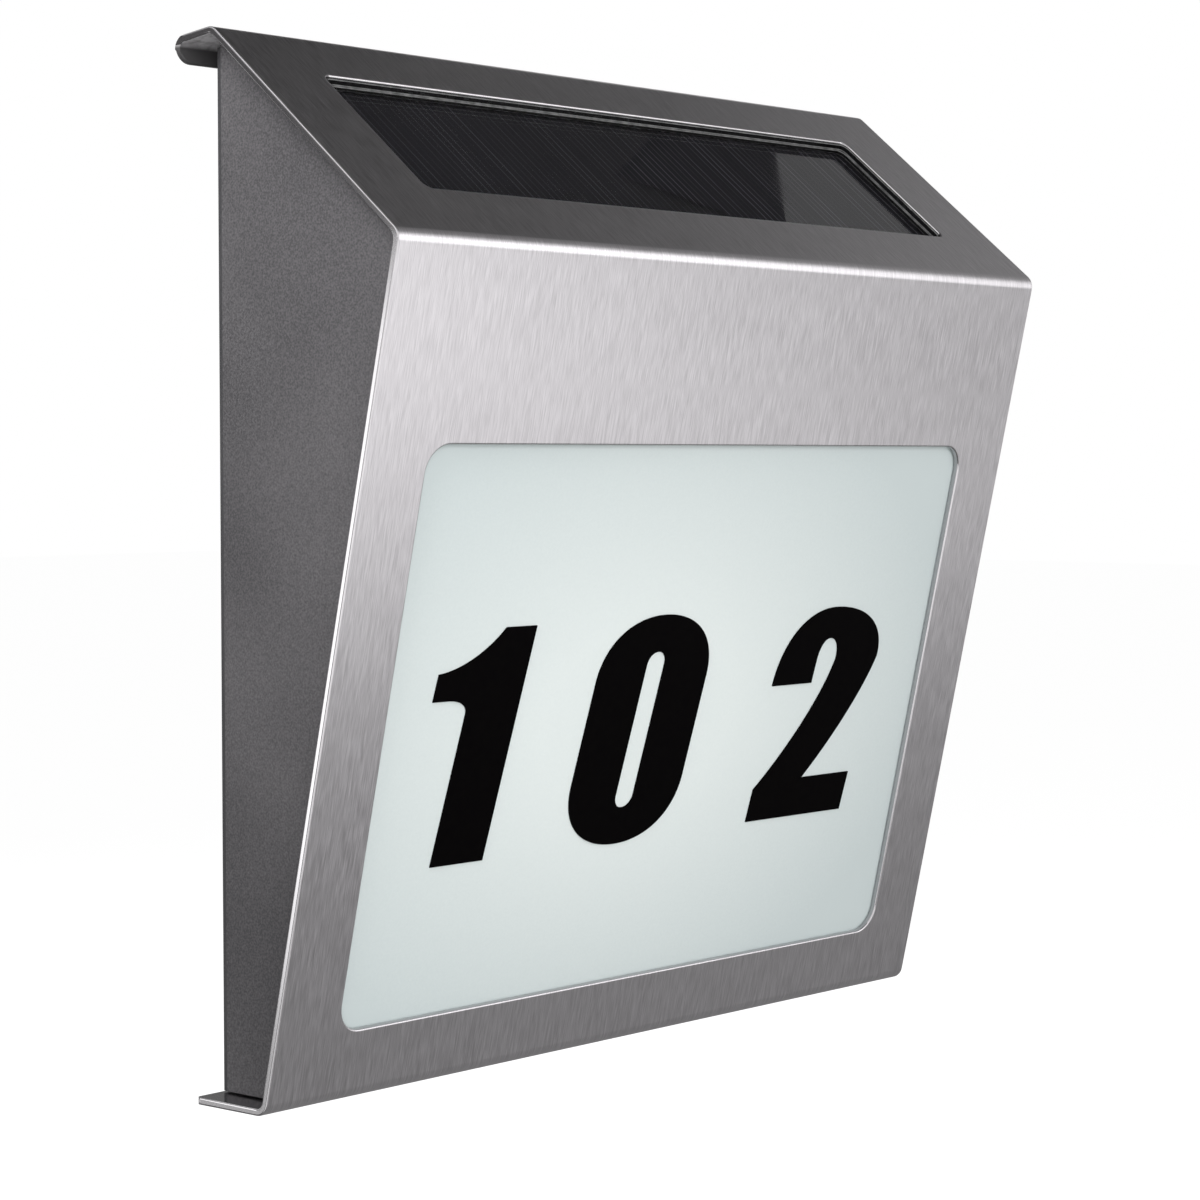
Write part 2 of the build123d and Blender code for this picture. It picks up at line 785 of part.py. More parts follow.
with BuildPart() as battery_door:
    with BuildSketch(door_plane):
        rounded(door_width, door_tall, door_corner, x=door_x, y=battery_level)
    extrude(amount=-door_thickness)
    with BuildSketch(door_plane):
        with Locations(bay_middle):
            Rectangle(bay_length - 2 * hole_fit, bay_tall - 2 * hole_fit)
            Rectangle(bay_length - 2 * plug_wall, bay_tall - 2 * plug_wall, mode=Mode.SUBTRACT)
    extrude(amount=door_seal_thickness + plug_depth)
    with BuildSketch(door_plane):
        with Locations(ear):
            Circle(small_screw[0] + hole_fit)
    extrude(amount=-door_thickness, mode=Mode.SUBTRACT)
save(battery_door, "battery_door")

thread_length = door_thickness + door_seal_thickness + back_thickness + door_screw_length - boss_bite
save(screws(door_plane.offset(-door_thickness), [ear], small_screw, thread_length), "door_screw")

# Control board and its parts
board_plane = back_plane.offset(back_thickness + board_standoff)
board_front = board_plane.offset(board_thickness)
with BuildPart() as control_board:
    with BuildSketch(board_plane):
        with Locations(board_middle):
            Rectangle(board_width, board_tall)
            with Locations((board_screw_x, board_screw_y), (-board_screw_x, -board_screw_y)):
                Circle(small_screw[0] + hole_fit, mode=Mode.SUBTRACT)
    extrude(amount=board_thickness)
save(control_board, "control_board")


def on_board(place):
    """Point of the board's front, from its middle, in the plane of the back."""
    return board_middle[0] + place[0], board_middle[1] + place[1]


# Their heads are on the board's front, so the seat looks back towards the wall
board_seat = Plane(board_front.origin, x_dir=(1, 0, 0), z_dir=(0, 1, 0))
board_corners = [on_board((side * board_screw_x, side * board_screw_y)) for side in (-1, 1)]
board_corners = [(x, -z) for x, z in board_corners]
save(screws(board_seat, board_corners, small_screw, board_screw_length), "board_screws")

with BuildPart() as control_chip:
    with BuildSketch(board_front):
        with Locations(on_board(chip_place)):
            Rectangle(chip_size[0], chip_size[1])
    extrude(amount=chip_size[2])
save(control_chip, "control_chip")

with BuildPart() as boost_coil:
    with BuildSketch(board_front):
        with Locations(on_board(coil_place)):
            Circle(coil_radius)
    extrude(amount=coil_tall)
save(boost_coil, "boost_coil")

with BuildPart() as capacitor:
    with BuildSketch(board_front):
        with Locations(on_board(capacitor_place)):
            Circle(capacitor_radius)
    extrude(amount=capacitor_tall)
save(capacitor, "capacitor")

# Slide switch: a shell on the back of the board, and a knob that runs in it
switch_wide, switch_tall, switch_deep = switch_size
foot_wide, foot_high, foot_deep = knob_foot
shell_face = board_plane.offset(-switch_deep)
with BuildPart() as switch_body:
    with BuildSketch(board_plane):
        with Locations(slot_middle):
            Rectangle(switch_wide, switch_tall)
    extrude(amount=-switch_deep)
    with BuildSketch(board_plane):
        with Locations(slot_middle):
            Rectangle(switch_wide - 2 * switch_shell, foot_high + 2 * knob_fit)
    extrude(amount=switch_shell - switch_deep, mode=Mode.SUBTRACT)
    with BuildSketch(shell_face):
        with Locations(slot_middle):
            Rectangle(knob_stem[0] + switch_travel + 2 * knob_fit, knob_stem[1] + 2 * knob_fit)
    extrude(amount=switch_shell, mode=Mode.SUBTRACT)
save(switch_body, "switch_body")

foot_level = back_thickness + board_standoff - switch_deep + switch_shell + knob_fit
foot_plane = back_plane.offset(foot_level)
with BuildPart() as switch_knob:
    with BuildSketch(foot_plane):
        with Locations((switch_x, switch_y)):
            Rectangle(foot_wide, foot_high)
    extrude(amount=foot_deep)
    with BuildSketch(foot_plane):
        with Locations((switch_x, switch_y)):
            Rectangle(*knob_stem)
    extrude(amount=-foot_level - knob_proud)
save(switch_knob, "switch_knob")

# Wires: each pair runs from its source to the board's front, two hanging loose and one tied down in a loom
board_reach = back_reach + back_thickness + board_standoff + board_thickness


def wires(runs):
    """Round wires along runs of points, smooth where end directions are given and square elsewhere."""
    with BuildPart() as made:
        for points, ends in runs:
            with BuildLine() as path:
                if ends:
                    Spline(*points, tangents=ends)
                else:
                    FilletPolyline(*points, radius=wire_bend)
            with BuildSketch(Plane(origin=path.line @ 0, z_dir=path.line % 0)):
                Circle(wire_radius)
            sweep(path=path.line)
    return made


def to_board(source, away, place):
    """Smooth run that leaves source along away and meets the board's front at the height of place."""
    end = Vector(source.X, -board_reach, on_board(place)[1])
    return [source, end], [away, Vector(0, 1, 0)]


strip_top = strip_plane.offset(led_board_thickness)
backing_rear = slope_plane.offset(-backing_depth - backing_thickness)
lamp_runs = []
solar_runs = []
for side in (-0.5, 0.5):
    shift = side * wire_pitch
    lamp_source = strip_top.from_local_coords((on_board(lamp_wire)[0] + shift, 0, 0))
    lamp_runs.append(to_board(lamp_source, strip_top.z_dir, lamp_wire))
    solar_source = backing_rear.from_local_coords((on_board(solar_wire)[0] + shift, solar_middle, 0))
    solar_runs.append(to_board(solar_source, -backing_rear.z_dir, solar_wire))
save(wires(lamp_runs), "led_leads")
save(wires(solar_runs), "solar_leads")


def from_tab(tab, place):
    """Square run from the tip of a contact's tab, forward of the bay and across to the board's front."""
    x, z = on_board(place)
    tip = cell_axis - tab_length
    loom = tip - loom_depth
    start = Vector(tab, tip, battery_level)
    points = [start, Vector(tab, loom, battery_level), Vector(x, loom, z), Vector(x, -board_reach, z)]
    return points, None


save(wires([from_tab(plus_tab, plus_wire), from_tab(minus_tab, minus_wire)]), "battery_leads")

# Wall bracket: flat strip with a tongue set forward, so that the hook lip drops behind it
bracket_low = drop(bracket_drop)
tongue_rear = hook_reach + sheet + tongue_gap
under_hook = meet(hook_line(sheet), rear_line(tongue_rear))
with BuildPart() as wall_bracket:
    with BuildSketch(Plane.YZ):
        with BuildLine():
            path = Polyline((0, bracket_low), (0, drop(joggle_start_drop)),
                            (-tongue_rear, drop(joggle_end_drop)), (-tongue_rear, under_hook.Y - tongue_rest))
            offset(path, amount=bracket_sheet, side=Side.LEFT)
        make_face()
    extrude(amount=bracket_width / 2, both=True)
    bracket_ends = wall_bracket.edges().filter_by(Axis.Y)
    low_ends = [edge for edge in bracket_ends if edge.center().Z < bracket_low + bracket_sheet]
    fillet(low_ends, radius=bracket_corner)
    with BuildSketch(Plane.XZ):
        with GridLocations(wall_screw_spacing, 0, 2, 1):
            Circle(wall_screw_radius)
    extrude(amount=bracket_sheet, mode=Mode.SUBTRACT)
save(wall_bracket, "wall_bracket")
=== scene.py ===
import bmesh
import bpy
import numpy as np
from math import pi, radians
from mathutils import Matrix, Vector


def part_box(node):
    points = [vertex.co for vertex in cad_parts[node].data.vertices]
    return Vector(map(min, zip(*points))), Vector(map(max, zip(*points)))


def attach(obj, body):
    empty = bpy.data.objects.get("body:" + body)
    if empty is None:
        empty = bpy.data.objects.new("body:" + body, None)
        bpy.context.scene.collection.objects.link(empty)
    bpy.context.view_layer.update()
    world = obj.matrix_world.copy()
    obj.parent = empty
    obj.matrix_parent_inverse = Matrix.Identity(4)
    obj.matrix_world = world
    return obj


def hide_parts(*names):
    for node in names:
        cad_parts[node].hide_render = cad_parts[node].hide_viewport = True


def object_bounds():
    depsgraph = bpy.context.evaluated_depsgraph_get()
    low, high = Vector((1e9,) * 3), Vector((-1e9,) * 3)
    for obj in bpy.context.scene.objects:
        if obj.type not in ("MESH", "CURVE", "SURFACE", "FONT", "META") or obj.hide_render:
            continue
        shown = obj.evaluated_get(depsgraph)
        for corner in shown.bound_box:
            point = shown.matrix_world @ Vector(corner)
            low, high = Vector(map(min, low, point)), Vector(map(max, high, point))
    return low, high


# Solar house number light, in metres: +Z up, front towards -Y, wall plane at Y = 0, origin on the wall
# midway between the two wall screws. Sizes are written in millimetres and turned to metres by mm().
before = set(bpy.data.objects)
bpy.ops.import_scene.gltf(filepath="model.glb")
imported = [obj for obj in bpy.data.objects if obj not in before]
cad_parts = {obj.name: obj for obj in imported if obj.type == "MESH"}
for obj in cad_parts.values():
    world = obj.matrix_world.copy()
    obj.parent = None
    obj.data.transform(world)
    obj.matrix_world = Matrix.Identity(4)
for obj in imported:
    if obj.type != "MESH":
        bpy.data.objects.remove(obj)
cad_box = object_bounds()

# Wall bracket: a strip of galvanised sheet steel, sheared to width, punched for two wall screws and joggled
# so that its upper edge stands off the wall as a tongue for the light's hook lip.
same_place = 7  # decimals of a metre to which two corners of a mesh agree where they are one
flat_turn, sharp_turn = radians(0.2), radians(30)


def mm(*sizes):
    """Millimetres to metres, one size or several."""
    made = [size * 0.001 for size in sizes]
    return made[0] if len(made) == 1 else made


def colour(code):
    """Linear colour of an sRGB hex code: a straight line near black and a power of 2.4 above it."""
    parts = np.array([int(code[i:i + 2], 16) for i in (1, 3, 5)]) / 255
    linear = np.where(parts <= 0.04045, parts / 12.92, ((parts + 0.055) / 1.055) ** 2.4)
    return (*linear.tolist(), 1.0)


def emptied(owner):
    """Node tree of a material or world, with nothing in it."""
    owner.use_nodes = True
    owner.node_tree.nodes.clear()
    return owner.node_tree


def feed(tree, node, inputs):
    """Sets a node's inputs, by name or number, to values, or links them to sockets."""
    for name, value in inputs.items():
        if isinstance(value, bpy.types.NodeSocket):
            tree.links.new(value, node.inputs[name])
        else:
            node.inputs[name].default_value = value


def add(tree, kind, inputs, **settings):
    """Adds a shader node with its settings and inputs, and gives its outputs."""
    made = tree.nodes.new("ShaderNode" + kind)
    for name, value in settings.items():
        setattr(made, name, value)
    feed(tree, made, inputs)
    return made.outputs


def finish_of(name):
    """New material with one principled shader: itself, its tree, its shader and its object coordinates."""
    made = bpy.data.materials.new(name)
    tree = emptied(made)
    surface = add(tree, "BsdfPrincipled", {})["BSDF"]
    add(tree, "OutputMaterial", {"Surface": surface})
    return made, tree, surface.node, add(tree, "TexCoord", {})["Object"]


def marks(*sizes):
    """Scale of a pattern whose marks measure this many millimetres, one size or one each for X, Y and Z."""
    made = [1 / mm(size) for size in sizes]
    return made[0] if len(made) == 1 else made


def rows(items, name, wide=3):
    """Numbers of every vertex, edge or face of a mesh, one row each."""
    values = np.empty(len(items) * wide)
    items.foreach_get(name, values)
    return values.reshape(-1, wide)


def eased(node, piece, radius, material, body="lamp", steps=2, bare=(), within=0.0, edges=None):
    """Copy of a CAD node that stands for it, with its sharp edges rounded to a radius in millimetres.

    The node's triangles share their corners again, coplanar ones become whole faces, and edges that turn by
    more than thirty degrees get a round strip of the given number of steps. Edges near a bare spot, which is
    a place and its reach in metres, stay sharp, and so do edges that lie within a half width of the middle
    plane. The strips take the finish called edges, if there is one.
    """
    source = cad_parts[node].data
    places = rows(source.vertices, "co").round(same_place)
    corners = np.empty(len(source.loops), dtype=int)
    source.loops.foreach_get("vertex_index", corners)
    points, shared = np.unique(places, axis=0, return_inverse=True)
    triangles = shared.reshape(-1)[corners].reshape(-1, 3)
    mesh = bpy.data.meshes.new(piece)
    mesh.from_pydata(points.tolist(), [], triangles.tolist())
    whole = bmesh.new()
    whole.from_mesh(mesh)
    bmesh.ops.dissolve_limit(whole, angle_limit=flat_turn, verts=whole.verts, edges=whole.edges)
    whole.to_mesh(mesh)
    whole.free()
    mesh.shade_smooth()
    mesh.set_sharp_from_angle(angle=sharp_turn)
    turned = rows(mesh.attributes["sharp_edge"].data, "value", 1)[:, 0]
    ends = rows(mesh.vertices, "co")[rows(mesh.edges, "vertices", 2).astype(int)]
    turned = turned * (np.abs(ends[:, :, 0]).max(axis=1) >= within)
    for spot, reach in bare:
        turned = turned * (np.linalg.norm(ends.mean(axis=1) - np.array(spot), axis=1) > reach)
    mesh.attributes.new("bevel_weight_edge", "FLOAT", "EDGE").data.foreach_set("value", turned)
    mesh.materials.append(material)
    made = bpy.data.objects.new(piece, mesh)
    bpy.context.scene.collection.objects.link(made)
    bevel = made.modifiers.new("edges", "BEVEL")
    bevel.width = mm(radius)
    bevel.segments = steps
    bevel.limit_method = "WEIGHT"
    bevel.use_clamp_overlap = False
    made.modifiers.new("flats", "WEIGHTED_NORMAL").keep_sharp = True
    if edges:
        mesh.materials.append(edges)
        bevel.material = 1
    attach(made, body)
    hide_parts(node)
    return made


# Galvanised sheet: dull zinc with the pale and dark flakes of its spangle, about 6 mm across
zinc, tree, shader, place = finish_of("galvanised_zinc")
flakes = add(tree, "TexVoronoi", {"Vector": place, "Scale": marks(6)})["Color"]
shade = add(tree, "SeparateColor", {"Color": flakes})["Red"]
tone = add(tree, "Mix", {0: shade, 6: colour("#a9acae"), 7: colour("#c3c6c8")}, data_type="RGBA")[2]
gloss = add(tree, "MapRange", {"Value": shade, "To Min": 0.36, "To Max": 0.52})["Result"]
feed(tree, shader, {"Metallic": 1.0, "Base Color": tone, "Roughness": gloss})
eased("wall_bracket", "wall_bracket_strip", 0.15, zinc)

# Back cover and battery door: flat lids moulded in dark grey ABS. The back cover closes the box under four
# screws, and the door lies on a foam seal over the battery bay under one.

# Spark-eroded ABS: a matt, slightly cloudy grey with a fine pitted texture. Such pits are about a tenth of a
# millimetre wide, and are drawn half a millimetre wide so that they show
abs_grey, tree, shader, place = finish_of("moulded_grey_abs")
pits = add(tree, "TexNoise", {"Vector": place, "Scale": marks(0.5), "Detail": 3.0})["Fac"]
cloud = add(tree, "TexNoise", {"Vector": place, "Scale": marks(40), "Detail": 4.0})["Fac"]
mixed = add(tree, "Math", {0: pits, 1: cloud}, operation="MULTIPLY")[0]
shade = add(tree, "MapRange", {"Value": mixed, "From Min": 0.15, "From Max": 0.4})["Result"]
tone = add(tree, "Mix", {0: shade, 6: colour("#2f2f31"), 7: colour("#3f3e40")}, data_type="RGBA")[2]
gloss = add(tree, "MapRange", {"Value": pits, "From Min": 0.3, "From Max": 0.7, "To Min": 0.42,
                               "To Max": 0.6})["Result"]
relief = add(tree, "Bump", {"Height": pits, "Strength": 0.5, "Distance": mm(0.04)})["Normal"]
feed(tree, shader, {"Base Color": tone, "Roughness": gloss, "Normal": relief, "Specular IOR Level": 0.3})

# One corner by the battery bay has edges too short to round
short_edges = [(mm(-68.6, -4.2, -26.9), mm(0.6))]
eased("back_cover", "back_lid", 0.06, abs_grey, bare=short_edges)
eased("battery_door", "battery_lid", 0.12, abs_grey)

# Foam seals: die-cut strips of black closed-cell foam, one under the battery door and one behind the number
# panel. Each is squeezed between its lid or panel and a ledge.


def dress(node, material):
    """Gives a CAD node a finish."""
    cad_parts[node].material_slots[0].material = material


# Closed-cell foam: matt black, with skinned cells that make it finely bumpy
foam, tree, shader, place = finish_of("closed_cell_foam")
cells = add(tree, "TexVoronoi", {"Vector": place, "Scale": marks(0.4)})["Distance"]
tone = add(tree, "Mix", {0: cells, 6: colour("#17171a"), 7: colour("#2b2b2d")}, data_type="RGBA")[2]
relief = add(tree, "Bump", {"Height": cells, "Strength": 0.4, "Distance": mm(0.1)})["Normal"]
feed(tree, shader, {"Base Color": tone, "Normal": relief, "Roughness": 0.9})
for seal in ("door_seal", "panel_seal"):
    dress(seal, foam)

# Battery: a rechargeable AA cell in a plain green shrink sleeve, which lies across the bay. A plate and a
# bent strip of plated spring steel hold it at its ends.

# Shrink sleeve: thin glossy green film, a little rippled where it shrank
sleeve, tree, shader, place = finish_of("green_shrink_sleeve")
ripple = add(tree, "TexNoise", {"Vector": place, "Scale": marks(7), "Detail": 3.0})["Fac"]
tone = add(tree, "Mix", {0: ripple, 6: colour("#2f6b3c"), 7: colour("#458a55")}, data_type="RGBA")[2]
feed(tree, shader, {"Base Color": tone, "Roughness": 0.3})
dress("battery", sleeve)

# Bright zinc plating: a clear metal shine with a thin, uneven haze
plating, tree, shader, place = finish_of("bright_zinc_plating")
haze = add(tree, "TexNoise", {"Vector": place, "Scale": marks(1.2), "Detail": 5.0})["Fac"]
tone = add(tree, "Mix", {0: haze, 6: colour("#b4b4b2"), 7: colour("#cfcfce")}, data_type="RGBA")[2]
gloss = add(tree, "MapRange", {"Value": haze, "From Min": 0.3, "From Max": 0.7, "To Min": 0.22,
                               "To Max": 0.42})["Result"]
feed(tree, shader, {"Metallic": 1.0, "Base Color": tone, "Roughness": gloss})
for contact in ("battery_spring", "battery_plate", "board_screws"):
    dress(contact, plating)

# Control board: a glass-fibre board with a moulded chip, a resin-bodied capacitor and a coil of enamelled
# copper, held to the back cover by two small screws. The solar cells' backing is the same kind of board.
low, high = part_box("switch_body")
centre, half = (low + high) / 2, (high - low) / 2

# Solder mask: glossy green over the weave of the glass fibre, and black where the switch's base covers it
board_green, tree, shader, place = finish_of("green_solder_mask")
weave = add(tree, "TexBrick", {"Vector": place, "Scale": marks(1.5), "Color1": colour("#1f6a38"),
                               "Color2": colour("#267342"), "Mortar": colour("#18572d")})["Color"]
spot = add(tree, "Mapping", {"Vector": place, "Location": [-c / h for c, h in zip(centre, half)],
                             "Scale": [1 / h for h in half]})["Vector"]
away = add(tree, "SeparateXYZ", {0: add(tree, "VectorMath", {0: spot}, operation="ABSOLUTE")[0]})
far = add(tree, "Math", {0: away["X"], 1: away["Z"]}, operation="MAXIMUM")[0]
base = add(tree, "Math", {0: far, 1: 1.0}, operation="LESS_THAN")[0]
tone = add(tree, "Mix", {0: base, 6: weave, 7: colour("#121213")}, data_type="RGBA")[2]
feed(tree, shader, {"Base Color": tone, "Roughness": 0.35})
for board in ("control_board", "solar_backing"):
    dress(board, board_green)

# Chip resin: matt black with grey specks, drawn coarser than its real filler so that they show
resin, tree, shader, place = finish_of("moulded_chip_resin")
speckle = add(tree, "TexNoise", {"Vector": place, "Scale": marks(0.2), "Detail": 2.0})["Fac"]
tone = add(tree, "Mix", {0: speckle, 6: colour("#1b1b1c"), 7: colour("#2a2a2b")}, data_type="RGBA")[2]
feed(tree, shader, {"Base Color": tone, "Roughness": 0.6})
for part in ("control_chip", "capacitor"):
    dress(part, resin)

# Enamelled copper: brown gloss in turns of 0.4 mm wire, side by side along the coil's axis away from the wall
wave_repeat = pi / 10  # length after which a wave texture's bands come round at a scale of one
copper, tree, shader, place = finish_of("enamelled_copper")
turns = add(tree, "TexWave", {"Vector": place, "Scale": marks(0.4) * wave_repeat, "Distortion": 0.2},
            bands_direction="Y")["Fac"]
tone = add(tree, "Mix", {0: turns, 6: colour("#6e3b1d"), 7: colour("#b86c3a")}, data_type="RGBA")[2]
feed(tree, shader, {"Metallic": 1.0, "Base Color": tone, "Roughness": 0.35})
dress("boost_coil", copper)

# Slide switch: a moulded shell soldered to the back of the board, and a knob that runs in it and reaches out
# through the slot in the back cover. Both are black ABS.

# Gloss ABS: deep black and smooth, with a faint mottle in its shine
black_abs, tree, shader, place = finish_of("gloss_black_abs")
mottle = add(tree, "TexNoise", {"Vector": place, "Scale": marks(3), "Detail": 4.0})["Fac"]
tone = add(tree, "Mix", {0: mottle, 6: colour("#070708"), 7: colour("#101011")}, data_type="RGBA")[2]
gloss = add(tree, "MapRange", {"Value": mottle, "From Min": 0.3, "From Max": 0.7, "To Min": 0.18,
                               "To Max": 0.32})["Result"]
feed(tree, shader, {"Base Color": tone, "Roughness": gloss, "Specular IOR Level": 0.12})
dress("switch_body", black_abs)
eased("switch_knob", "switch_slider", 0.25, black_abs, body="knob")

# Wires: pairs of stranded copper wires in soft jackets, from the cells, the battery and the lamp strip to the
# control board, where they are soldered.

# Wire jacket: soft red plastic, dulled in places by handling
jacket, tree, shader, place = finish_of("red_wire_jacket")
scuff = add(tree, "TexNoise", {"Vector": place, "Scale": marks(2), "Detail": 3.0})["Fac"]
tone = add(tree, "Mix", {0: scuff, 6: colour("#86211c"), 7: colour("#a33029")}, data_type="RGBA")[2]
feed(tree, shader, {"Base Color": tone, "Roughness": 0.45})
for leads in ("solar_leads", "battery_leads", "led_leads"):
    dress(leads, jacket)

# Lamp housing: the box behind the folded sheet, moulded in ABS and sprayed a dark metallic grey. It holds the
# pieces inside and is screwed to the sheet's flange. Edges inside its side walls stay sharp, because rounding
# folds the mesh there.
wall_inside = mm(83)

# Metallic paint: satin grey with a sparkle of flakes and a slow drift of tone. Such flakes are under a tenth
# of a millimetre wide, and are drawn a third of one wide so that they show
paint, tree, shader, place = finish_of("metallic_grey_paint")
flake = add(tree, "TexNoise", {"Vector": place, "Scale": marks(0.36), "Detail": 2.0})["Fac"]
drift = add(tree, "TexNoise", {"Vector": place, "Scale": marks(60), "Detail": 2.0})["Fac"]
fleck = add(tree, "Math", {0: flake, 1: drift}, operation="ADD")[0]
shade = add(tree, "MapRange", {"Value": fleck, "From Min": 0.73, "From Max": 1.27})["Result"]
tone = add(tree, "Mix", {0: shade, 6: colour("#414042"), 7: colour("#646264")}, data_type="RGBA")[2]
gloss = add(tree, "MapRange", {"Value": flake, "From Min": 0.3, "From Max": 0.7, "To Min": 0.4,
                               "To Max": 0.58})["Result"]
relief = add(tree, "Bump", {"Height": flake, "Strength": 0.35, "Distance": mm(0.05)})["Normal"]
feed(tree, shader, {"Metallic": 0.1, "Base Color": tone, "Roughness": gloss, "Normal": relief,
                    "Specular IOR Level": 0.12})
eased("lamp_housing", "housing_box", 0.2, paint, within=wall_inside)

# Reflector and lamp strip: a moulded white tray behind the number panel, lit from its roof by four lamps on a
# white board that is stuck there.

# White ABS: matt and slightly chalky, so that it spreads the lamps' light
white, tree, shader, place = finish_of("matt_white_abs")
chalk = add(tree, "TexNoise", {"Vector": place, "Scale": marks(1), "Detail": 3.0})["Fac"]
tone = add(tree, "Mix", {0: chalk, 6: colour("#e4e6e4"), 7: colour("#f1f2f0")}, data_type="RGBA")[2]
feed(tree, shader, {"Base Color": tone, "Roughness": 0.6})
for part in ("reflector", "led_board"):
    dress(part, white)

# Phosphor: yellow grains in clear resin
phosphor, tree, shader, place = finish_of("yellow_phosphor")
grit = add(tree, "TexNoise", {"Vector": place, "Scale": marks(0.3), "Detail": 2.0})["Fac"]
tone = add(tree, "Mix", {0: grit, 6: colour("#d9b63f"), 7: colour("#f0d25e")}, data_type="RGBA")[2]
feed(tree, shader, {"Base Color": tone, "Roughness": 0.4})
dress("leds", phosphor)

# Number panel: a plate of opal acrylic, sanded on its face and clamped over foam against the housing's ledge.
# It is painted paler in the middle than at its rim, and palest a little left of the centre, as the photograph
# shows:
# a painted glow in the middle and painted shade towards the rim.
low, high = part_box("number_panel")
glow_shift = Vector(mm(-9, 0, 0))
glow_middle = (low + high) / 2 + glow_shift
glow_reach = mm(76, 40, 51)

# Frosted acrylic: matt and pale with a faint green cast. The real frost is finer than half a millimetre and
# is drawn that coarse so that it shows
opal, tree, shader, place = finish_of("frosted_opal_acrylic")
frost = add(tree, "TexNoise", {"Vector": place, "Scale": marks(0.5), "Detail": 4.0})["Fac"]
# Painted light: the colour grows paler towards a middle left of centre, a painted glow, and darker towards
# the rim, painted shade
spot = add(tree, "Mapping", {"Vector": place, "Location": [-c / r for c, r in zip(glow_middle, glow_reach)],
                             "Scale": [1 / r for r in glow_reach]})["Vector"]
outwards = add(tree, "VectorMath", {0: spot}, operation="LENGTH")["Value"]
rim_shade = add(tree, "MapRange", {"Value": outwards, "From Min": 0.35, "From Max": 1.35})["Result"]
shade = add(tree, "Math", {0: frost, 1: 0.25, 2: rim_shade}, operation="MULTIPLY_ADD")[0]
tone = add(tree, "Mix", {0: shade, 6: colour("#f4fbf9"), 7: colour("#d5dfdf")}, data_type="RGBA")[2]
relief = add(tree, "Bump", {"Height": frost, "Strength": 0.25, "Distance": mm(0.03)})["Normal"]
feed(tree, shader, {"Base Color": tone, "Normal": relief, "Roughness": 0.55})
dress("number_panel", opal)

# Numerals: the house number, three figures cut from black self-adhesive film and stuck side by side on the
# panel's face.

# Satin vinyl: an even, deep black with almost no shine
vinyl, tree, shader, place = finish_of("black_satin_vinyl")
film = add(tree, "TexNoise", {"Vector": place, "Scale": marks(1.5), "Detail": 3.0})["Fac"]
tone = add(tree, "Mix", {0: film, 6: colour("#020102"), 7: colour("#060505")}, data_type="RGBA")[2]
feed(tree, shader, {"Base Color": tone, "Roughness": 0.6, "Specular IOR Level": 0.02})
for numeral in ("digit_one", "digit_zero", "digit_two"):
    dress(numeral, vinyl)

# Solar panel: a sheet of thin-film cells under a clear cover, in a stepped frame moulded in black ABS that
# fills the sheet's upper opening. The cover's rim is hidden in the frame and looks as black.
smallest_pane = mm(20) * mm(50)

# Thin-film silicon: dark grey, with paler scribed lines every 1.8 mm up the slope, some stronger than others.
# Real scribes are finer and are drawn wide enough to show
silicon, tree, shader, place = finish_of("thin_film_silicon")
scribed = add(tree, "TexWave", {"Vector": place, "Scale": marks(1.8) * wave_repeat, "Distortion": 0.4,
                                "Detail": 1.0}, bands_direction="X")["Fac"]
drawn = add(tree, "Mapping", {"Vector": place, "Scale": marks(1.1, 60, 60)})["Vector"]
strand = add(tree, "TexNoise", {"Vector": drawn, "Scale": 1.0, "Detail": 2.0})["Fac"]
line = add(tree, "MapRange", {"Value": scribed, "From Min": 0.85, "From Max": 1.0})["Result"]
strength = add(tree, "MapRange", {"Value": strand, "From Min": 0.35, "From Max": 0.65,
                                  "To Min": 0.1})["Result"]
mark = add(tree, "Math", {0: line, 1: strength}, operation="MULTIPLY")[0]
tone = add(tree, "Mix", {0: mark, 6: colour("#1f1e23"), 7: colour("#54535a")}, data_type="RGBA")[2]
feed(tree, shader, {"Base Color": tone, "Roughness": 0.5, "Specular IOR Level": 0.1})
dress("solar_cells", silicon)

# Cover glass: clear, with faint smears and about half of plain glass's shine, as if it were coated
clear, tree, shader, place = finish_of("clear_cover_glass")
smear = add(tree, "TexNoise", {"Vector": place, "Scale": marks(25), "Detail": 4.0})["Fac"]
gloss = add(tree, "MapRange", {"Value": smear, "From Min": 0.4, "From Max": 0.8, "To Max": 0.06})["Result"]
feed(tree, shader, {"Transmission Weight": 1.0, "IOR": 1.36, "Roughness": gloss})
glass = eased("solar_glass", "solar_window", 0.15, clear)
glass.data.materials.append(black_abs)
rim_faces = rows(glass.data.polygons, "area", 1)[:, 0] < smallest_pane
glass.data.polygons.foreach_set("material_index", rim_faces.astype(np.int32))

# Painted highlight on black ABS: an uneven dark grey on the frame's rounded edges, which the photograph shows
# paler than its faces
black_abs_edge_highlight, tree, shader, place = finish_of("black_abs_painted_highlight")
edge_mottle = add(tree, "TexNoise", {"Vector": place, "Scale": marks(2), "Detail": 4.0})["Fac"]
shade = add(tree, "MapRange", {"Value": edge_mottle, "From Min": 0.35, "From Max": 0.65})["Result"]
tone = add(tree, "Mix", {0: shade, 6: colour("#343435"), 7: colour("#666666")}, data_type="RGBA")[2]
feed(tree, shader, {"Base Color": tone, "Roughness": 0.3})
# The frame's rounded edges take the painted highlight
eased("solar_frame", "solar_surround", 0.15, black_abs, edges=black_abs_edge_highlight)

# Front cover: one sheet of 1.2 mm stainless steel, laser-cut, deburred and folded four times, from the hook
# lip over the slope and the face to the flange. It hangs on the bracket, and two screws hold the flange.
ridge_level, hook_level, sill_level, brow_place = mm(-13, 14.5, -154, -9.7)
face_up, slope_up = np.array([0, -32, 144]), np.array([0, 43.3, 36])
edge_band = mm(84, 86)
edge_shade_band = ridge_level - mm(1), ridge_level + mm(1)
lip_shade = mm(20, 21.2)

